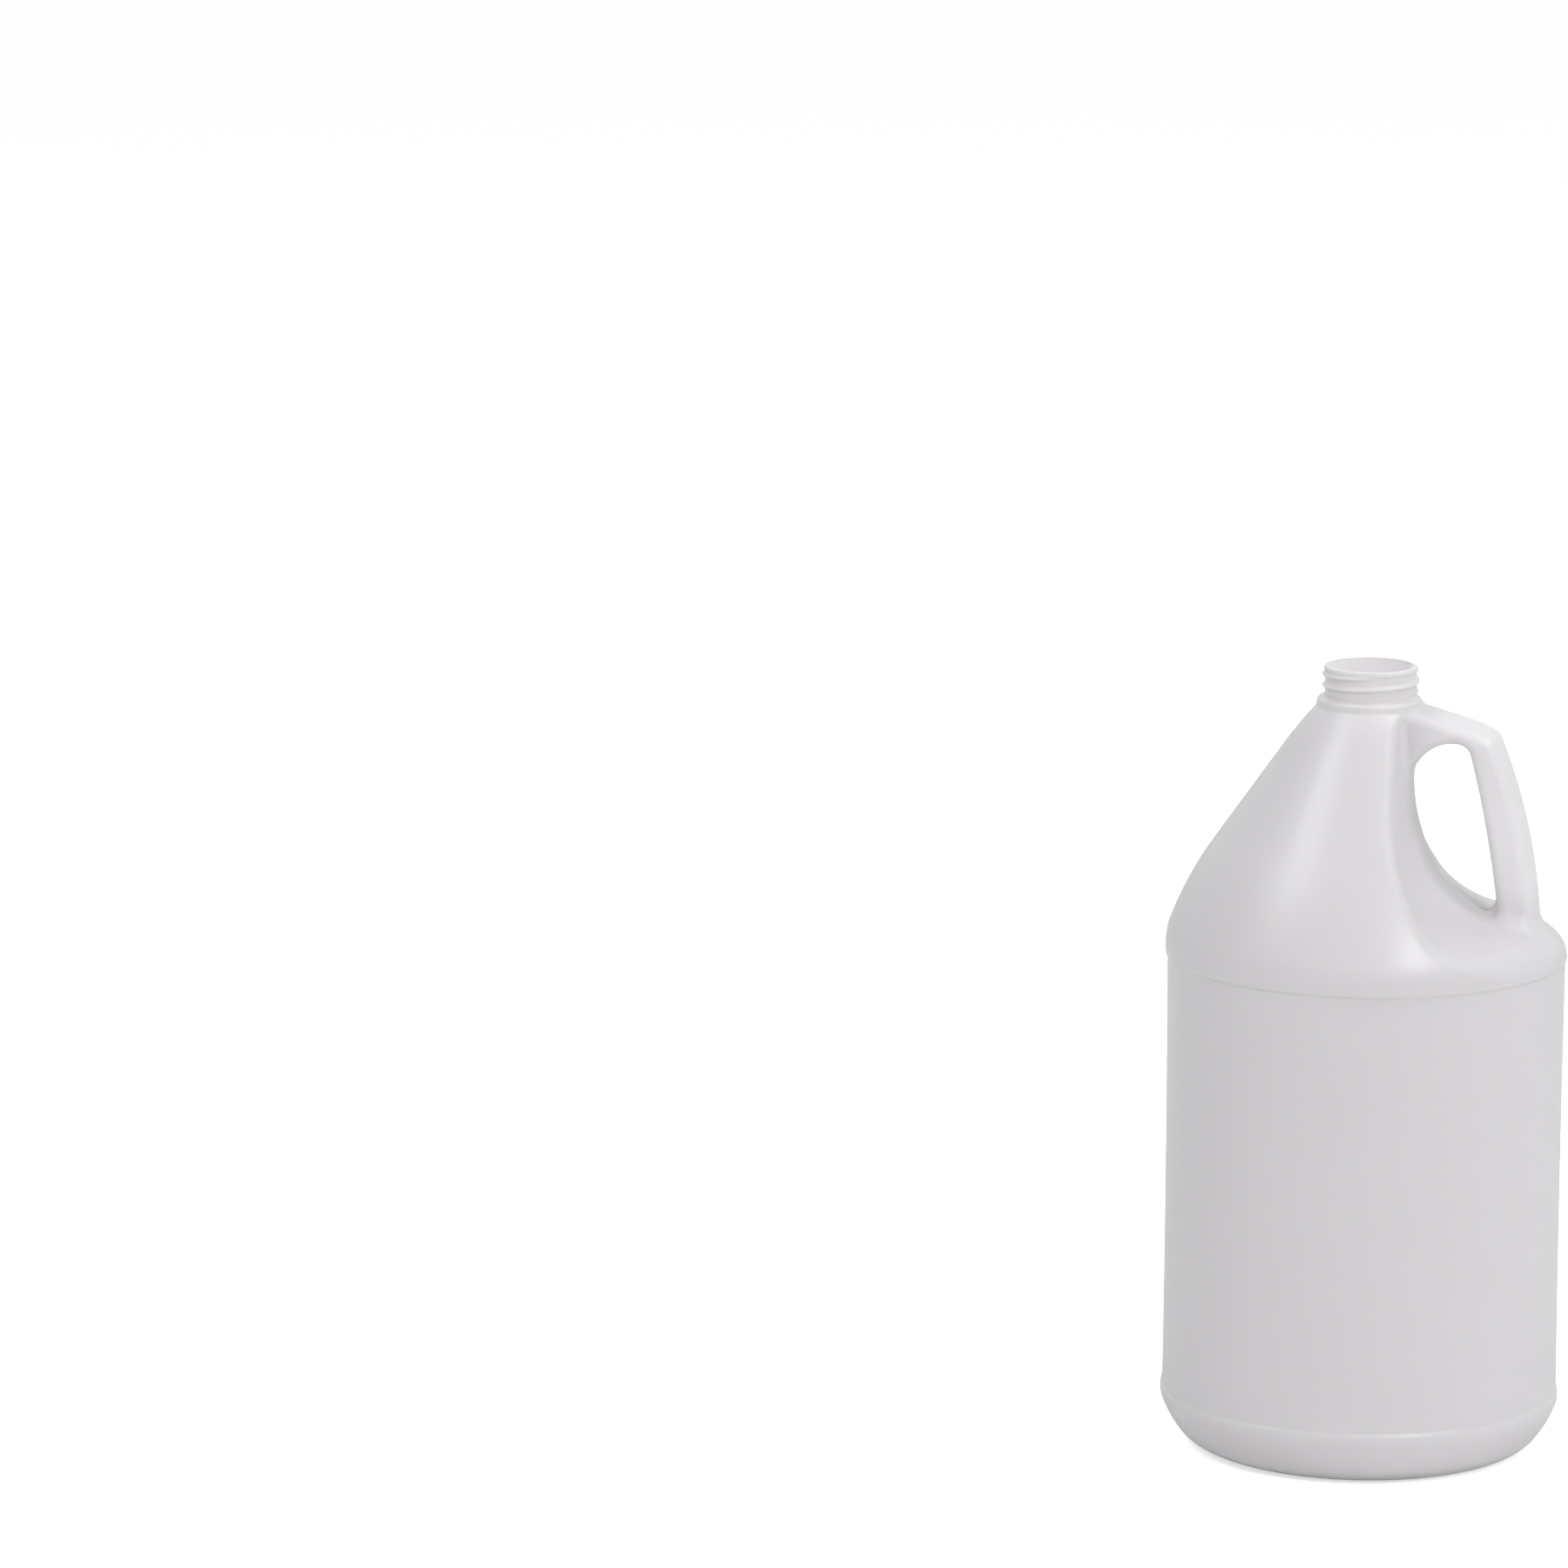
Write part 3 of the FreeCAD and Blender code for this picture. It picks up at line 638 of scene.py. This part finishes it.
columns = levels(-math.pi, (-FINE_REACH, COARSE), (FINE_REACH, FINE), (math.pi, COARSE))[:-1]
columns = columns[np.abs(np.abs(columns) - math.pi / 2.0) < math.pi / 2.0 - CLEAR_OF_LINE]
line_columns = [BESIDE_LINE, -BESIDE_LINE, math.pi - BESIDE_LINE, BESIDE_LINE - math.pi, [0.0, -math.pi]]
ANGLES = np.unique(np.concatenate([columns] + line_columns))
RADII = levels(0.0, *RADIUS_CELLS) * MM
HEIGHTS = levels(BELOW_BASE, *HEIGHT_CELLS) * MM
corners, faces = lay_net(outside, ANGLES, RADII, HEIGHTS)
corners = pull(outside, corners)
off = np.abs(outside(*corners.T))
print("net of", len(corners), "corners and", len(faces), "faces")
print("the worst corner is", round(off.max() / MM, 3), "mm off the skin")

# %% [markdown]
# ## The inner skin
# The inside is the same field moved in by the wall's thickness, so the handle comes out hollow all the way
# from neck to foot. Near the top it is a plain straight bore. Both skins are cut open at the mouth.

# %% Inner skin
def kept(corners, faces, keep):
    """Only the faces whose corners are all kept, with the corners numbered afresh."""
    faces = [face for face in faces if all(keep[corner] for corner in face)]
    used = np.zeros(len(corners), dtype=bool)
    used[[corner for face in faces for corner in face]] = True
    fresh = np.cumsum(used) - 1
    return corners[used], [[int(fresh[corner]) for corner in face] for face in faces]


def rim_ring(corners, faces):
    """The corners along the open edge, in order round the axis."""
    edges = {}
    for face in faces:
        for one, other in zip(face, face[1:] + face[:1]):
            edges[frozenset((one, other))] = edges.get(frozenset((one, other)), 0) + 1
    ring = {corner for edge, uses in edges.items() if uses == 1 for corner in edge}
    return sorted(ring, key=lambda corner: math.atan2(corners[corner][1], corners[corner][0]))


INNER_RADIUS_CELLS = ((14.2, 3.55), (20.2, 0.6), (78.0, 2.2))
INNER_HEIGHT_CELLS = ((8.0, 1.2), (20.0, 2.0), (26.0, 1.0), (187.0, 9.0), (200.0, 1.3), (284.0, 2.0),
                      (300.8, 1.6), (301.4, 0.3))
OUTER_CUT = HEIGHT - 0.3 * MM
INNER_CUT = HEIGHT - 0.6 * MM
CUT_RADIUS = (BORE_RADIUS + LIP_RADIUS - LIP_ROUND) / 2.0

in_mouth = (np.hypot(corners[:, 0], corners[:, 1]) < CUT_RADIUS) & (corners[:, 2] > OUTER_CUT)
corners, faces = kept(corners, faces, ~in_mouth)
inner_radii = levels(0.0, *INNER_RADIUS_CELLS) * MM
inner_heights = levels(0.0, *INNER_HEIGHT_CELLS) * MM
inner_corners, inner_faces = lay_net(hollow, ANGLES, inner_radii, inner_heights)
inner_corners = pull(hollow, inner_corners, 3)
inner_faces = [face[::-1] for face in inner_faces]
inner_corners, inner_faces = kept(inner_corners, inner_faces, inner_corners[:, 2] < INNER_CUT)

outer_ring, inner_ring = rim_ring(corners, faces), rim_ring(inner_corners, inner_faces)
normals = np.concatenate([facing(outside, corners), -facing(hollow, inner_corners)])
outer_count = len(corners)
corners = np.concatenate([corners, inner_corners])
faces = faces + [[corner + outer_count for corner in face] for face in inner_faces]
inner_ring = [corner + outer_count for corner in inner_ring]
skin_faces = len(faces)
print("rings of", len(outer_ring), "and", len(inner_ring), "corners will meet over the lip")

# %% [markdown]
# ## The lip
# The two skins are sewn together over the lip with a few rings, and then the jug is one closed skin round its
# own plastic. Each ring says how far out of the bore it lies and how far below the top, in millimetres, and
# how steeply the skin looks up there.

# %% Lip
LIP_RINGS = ((0.42, 0.0, 90.0), (0.30, 0.02, 75.0), (0.17, 0.07, 55.0), (0.07, 0.17, 35.0),
             (0.02, 0.30, 15.0))
ring_angles = np.arctan2(corners[outer_ring][:, 1], corners[outer_ring][:, 0])
outwards = np.stack([np.cos(ring_angles), np.sin(ring_angles), np.zeros(len(ring_angles))], axis=1)
upwards = np.zeros(outwards.shape) + [0.0, 0.0, 1.0]
rings = [outer_ring]
for out, down, tilt in LIP_RINGS:
    places = (BORE_RADIUS + out * MM) * outwards + (HEIGHT - down * MM) * upwards
    look = -math.cos(math.radians(tilt)) * outwards + math.sin(math.radians(tilt)) * upwards
    rings.append(list(range(len(corners), len(corners) + len(places))))
    corners, normals = np.concatenate([corners, places]), np.concatenate([normals, look])
rings.append(inner_ring)
for upper, lower in zip(rings, rings[1:]):
    for one in range(len(upper)):
        other = (one + 1) % len(upper)
        faces.append([upper[one], upper[other], lower[other], lower[one]])
print("the lip has", len(faces) - skin_faces, "faces")

# %% [markdown]
# ## Light from behind
# Where the plastic stands alone against the light, in the handle and the neck, it looks a little paler,
# because light comes through it. Each corner stores how much. The plastic is painted with a faint glow of it,
# emission that stands in for that light.

# %% One mesh
GLOW_FADE = 8.0 * MM
GLOW_ACROSS = (16.0 * MM, 32.0 * MM)
GLOW_RISE = 25.0 * MM
NECK_GLOW = 0.5
NECK_GLOW_RISE = 12.0 * MM


def light_through(x, y, z):
    """How much light comes through from behind: all of it at the handle, some at the neck."""
    plate = np.maximum(distance(HANDLE, x, z), np.abs(y) - HANDLE_WIDTH / 2.0)
    plate = np.maximum(plate, -distance(HOLE, x, z))
    handle = 1.0 - ease(0.0, GLOW_FADE, plate)
    handle = handle * ease(*GLOW_ACROSS, x) * ease(RIM_Z, RIM_Z + GLOW_RISE, z)
    return np.maximum(handle, NECK_GLOW * ease(COLLAR_TOP - NECK_GLOW_RISE, COLLAR_TOP, z))


mesh = bpy.data.meshes.new("jug_shell")
mesh.from_pydata(corners.tolist(), [], faces)
mesh.polygons.foreach_set("use_smooth", [True] * len(mesh.polygons))
mesh.normals_split_custom_set_from_vertices(normals.tolist())
mesh.update()
# The stored amount drives a painted glow: emission in place of the light that comes through the wall.
lit = mesh.attributes.new("light_through", "FLOAT", "POINT")
lit.data.foreach_set("value", light_through(*corners.T))
jug = bpy.data.objects.new("jug_shell", mesh)
bpy.context.scene.collection.objects.link(jug)
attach(jug, "root")
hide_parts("jug")
print("jug_shell has", len(mesh.vertices), "corners and", len(mesh.polygons), "faces")

# %% [markdown]
# ## Milky plastic
# The plastic lets light through but nothing can be seen in it, which is subsurface scattering with a reach
# of a few millimetres. Its polish comes from a sandblasted mould: highlights are wide and soft, with a
# faint ripple of a larger size where the plastic cooled unevenly. Both come from noise, as bump. Outside, a
# painted glow follows the light that was stored at the corners. Inside, an even painted glow stands in for
# the light that the walls pass to each other.

# %% Plastic
TONES = ((0.642, 0.626, 0.645, 1.0), (0.668, 0.652, 0.671, 1.0))
# The two glow strengths are painted light, one for the outer skin and one for the inner skin.
OUTER_PAINTED_GLOW, INNER_PAINTED_GLOW = 0.10, 0.17


def node(tree, kind, **values):
    """A new node with its inputs set by name."""
    made = tree.nodes.new(kind)
    for name, value in values.items():
        made.inputs[name.replace("_", " ")].default_value = value
    return made


def milky_plastic(name, glow, stored):
    """The plastic with a faint painted glow for light through the wall, which is even or follows the stored
    light.
    """
    material = bpy.data.materials.new(name)
    material.use_nodes = True
    tree = material.node_tree
    tree.nodes.clear()
    link = tree.links.new
    place = tree.nodes.new("ShaderNodeTexCoord")
    output = tree.nodes.new("ShaderNodeOutputMaterial")
    skin = node(tree, "ShaderNodeBsdfPrincipled", Roughness=0.37, IOR=1.5, Subsurface_Weight=0.4,
                Subsurface_Scale=0.003)
    skin.inputs["Subsurface Radius"].default_value = (1.0, 0.95, 0.92)
    # Painted glow: emission that stands in for the light that comes through the thin wall.
    skin.inputs["Emission Color"].default_value = (1.0, 0.99, 1.0, 1.0)
    skin.inputs["Emission Strength"].default_value = glow
    if stored:
        light = tree.nodes.new("ShaderNodeAttribute")
        light.attribute_name = "light_through"
        link(light.outputs["Fac"], skin.inputs["Emission Color"])

    clouds = node(tree, "ShaderNodeTexNoise", Scale=9.0, Detail=2.0)
    tone = tree.nodes.new("ShaderNodeMix")
    tone.data_type = "RGBA"
    tone.inputs["A"].default_value, tone.inputs["B"].default_value = TONES
    link(place.outputs["Object"], clouds.inputs["Vector"])
    link(clouds.outputs["Fac"], tone.inputs["Factor"])
    link(tone.outputs["Result"], skin.inputs["Base Color"])

    ripple = node(tree, "ShaderNodeTexNoise", Scale=38.0, Detail=1.0)
    grain = node(tree, "ShaderNodeTexNoise", Scale=1400.0, Detail=2.0)
    wave = node(tree, "ShaderNodeBump", Strength=0.25, Distance=0.0006)
    bump = node(tree, "ShaderNodeBump", Strength=0.12, Distance=0.00012)
    link(place.outputs["Object"], ripple.inputs["Vector"])
    link(place.outputs["Object"], grain.inputs["Vector"])
    link(ripple.outputs["Fac"], wave.inputs["Height"])
    link(grain.outputs["Fac"], bump.inputs["Height"])
    link(wave.outputs["Normal"], bump.inputs["Normal"])
    link(bump.outputs["Normal"], skin.inputs["Normal"])
    link(skin.outputs["BSDF"], output.inputs["Surface"])
    return material


mesh.materials.append(milky_plastic("milky_plastic", OUTER_PAINTED_GLOW, True))
mesh.materials.append(milky_plastic("milky_plastic_inside_painted_glow", INNER_PAINTED_GLOW, False))
# Faces of the inner skin get the material with the even painted glow.
for number, face in enumerate(faces[:skin_faces]):
    if min(face) >= outer_count:
        mesh.polygons[number].material_index = 1
print("material", mesh.materials[0].name, "has", len(mesh.materials[0].node_tree.nodes), "nodes")

# %% [markdown]
# ## Floor
# The jug stands on a white floor that runs on past the edge of the picture. To the camera the floor is
# plain white with the jug's soft shadow on it, but it lights the jug only as much as white card would.

# %% Floor
FLOOR_SIDE, FLOOR_BACK = 14.0, 60.0
FLOOR_GAP = 0.3 * MM


def white_floor():
    """White card that glows a little for the camera alone."""
    material = bpy.data.materials.new("white_floor")
    material.use_nodes = True
    tree = material.node_tree
    tree.nodes.clear()
    link = tree.links.new
    output = tree.nodes.new("ShaderNodeOutputMaterial")
    card = node(tree, "ShaderNodeBsdfDiffuse", Color=(0.88, 0.88, 0.88, 1.0))
    glow = node(tree, "ShaderNodeEmission", Color=(1.0, 1.0, 1.0, 1.0), Strength=0.6)
    both = tree.nodes.new("ShaderNodeAddShader")
    path = tree.nodes.new("ShaderNodeLightPath")
    choose = tree.nodes.new("ShaderNodeMixShader")
    link(card.outputs["BSDF"], both.inputs[0])
    link(glow.outputs["Emission"], both.inputs[1])
    link(path.outputs["Is Camera Ray"], choose.inputs["Fac"])
    link(card.outputs["BSDF"], choose.inputs[1])
    link(both.outputs["Shader"], choose.inputs[2])
    link(choose.outputs["Shader"], output.inputs["Surface"])
    return material


floor_mesh = bpy.data.meshes.new("floor")
floor_mesh.from_pydata([(-FLOOR_SIDE, -FLOOR_SIDE, 0.0), (FLOOR_SIDE, -FLOOR_SIDE, 0.0),
                        (FLOOR_SIDE, FLOOR_BACK, 0.0), (-FLOOR_SIDE, FLOOR_BACK, 0.0)], [], [(0, 1, 2, 3)])
floor_mesh.materials.append(white_floor())
floor = bpy.data.objects.new("floor", floor_mesh)
floor.location.z = -FLOOR_GAP
bpy.context.scene.collection.objects.link(floor)
print("floor is", 2.0 * FLOOR_SIDE, "m wide")

# %% [markdown]
# ## Light
# Four soft lights stand round the jug. The key light on the left makes the bright band down the cone, the one
# in front fills from the right, the top one gives the shoulder and the handle their shine, and the back one
# lights what faces away from the camera, without showing as a glint. The room is a little darker on the left,
# and white to the camera.

# %% Light
def soft_light(name, place, target, across, up, power):
    """A rectangular light that looks at a target; its power is in watts."""
    light = bpy.data.lights.new(name, "AREA")
    light.shape = "RECTANGLE"
    light.size, light.size_y, light.energy = across, up, power
    made = bpy.data.objects.new(name, light)
    made.location = place
    made.rotation_euler = (Vector(target) - Vector(place)).to_track_quat("-Z", "Y").to_euler()
    bpy.context.scene.collection.objects.link(made)
    return made


soft_light("key", (-1.15, -0.62, 1.65), (0.0, 0.0, 0.24), across=0.50, up=0.80, power=10.0)
soft_light("front", (1.10, -1.60, 1.25), (0.0, 0.0, 0.20), across=0.40, up=0.40, power=15.0)
soft_light("top", (1.0, -0.1, 1.9), (0.03, 0.0, 0.24), across=0.6, up=0.6, power=9.0)
back = soft_light("back", (-0.5, 1.9, 1.2), (0.0, 0.0, 0.15), across=1.0, up=1.0, power=12.0)
back.visible_glossy = False


def studio():
    """A room that is a little darker on the left, with a white backdrop for camera and reflections."""
    world = bpy.data.worlds.new("studio")
    world.use_nodes = True
    tree = world.node_tree
    sky = tree.nodes["Background"]
    sky.inputs["Color"].default_value = (1.0, 1.0, 1.0, 1.0)
    link = tree.links.new
    place = tree.nodes.new("ShaderNodeTexCoord")
    split = tree.nodes.new("ShaderNodeSeparateXYZ")
    room = node(tree, "ShaderNodeMapRange", From_Min=-1.0, From_Max=1.0, To_Min=0.35, To_Max=0.51)
    behind = node(tree, "ShaderNodeMapRange", From_Min=-0.1, From_Max=0.5)
    path = tree.nodes.new("ShaderNodeLightPath")
    mirrored = tree.nodes.new("ShaderNodeMath")
    mirrored.operation = "MULTIPLY"
    seen = tree.nodes.new("ShaderNodeMath")
    seen.operation = "MAXIMUM"
    white = tree.nodes.new("ShaderNodeMix")
    white.inputs["B"].default_value = 1.0
    link(place.outputs["Generated"], split.inputs["Vector"])
    link(split.outputs["X"], room.inputs["Value"])
    link(split.outputs["Y"], behind.inputs["Value"])
    link(path.outputs["Is Glossy Ray"], mirrored.inputs[0])
    link(behind.outputs["Result"], mirrored.inputs[1])
    link(path.outputs["Is Camera Ray"], seen.inputs[0])
    link(mirrored.outputs["Value"], seen.inputs[1])
    link(seen.outputs["Value"], white.inputs["Factor"])
    link(room.outputs["Result"], white.inputs["A"])
    link(white.outputs["Result"], sky.inputs["Strength"])
    return world


bpy.context.scene.world = studio()

# %% [markdown]
# ## Camera
# The jug is seen from nearly three metres away and a little above, with a long lens, and turned so that the
# handle points to the right and slightly away. It stands in the lower right of a wide white picture.

# %% Camera
PLACE = Vector((0.1772, -2.9142, 0.8340))
TURN, PITCH, ROLL = math.radians(7.83), math.radians(11.241), math.radians(0.176)
ahead = Vector((-math.cos(PITCH) * math.sin(TURN), math.cos(PITCH) * math.cos(TURN), -math.sin(PITCH)))
level = Vector((math.cos(TURN), math.sin(TURN), 0.0))
above = level.cross(ahead)
right = math.cos(ROLL) * level + math.sin(ROLL) * above
over = math.cos(ROLL) * above - math.sin(ROLL) * level
lens = bpy.data.cameras.new("camera")
lens.lens, lens.sensor_width = 180.0, 36.0
lens.clip_end = 200.0
camera = bpy.data.objects.new("camera", lens)
axes = Matrix((right, over, -ahead)).transposed().to_4x4()
camera.matrix_world = Matrix.Translation(PLACE) @ axes
bpy.context.scene.collection.objects.link(camera)
bpy.context.scene.camera = camera
bpy.context.scene.view_settings.view_transform = "Standard"
print("camera looks along", [round(value, 3) for value in ahead])
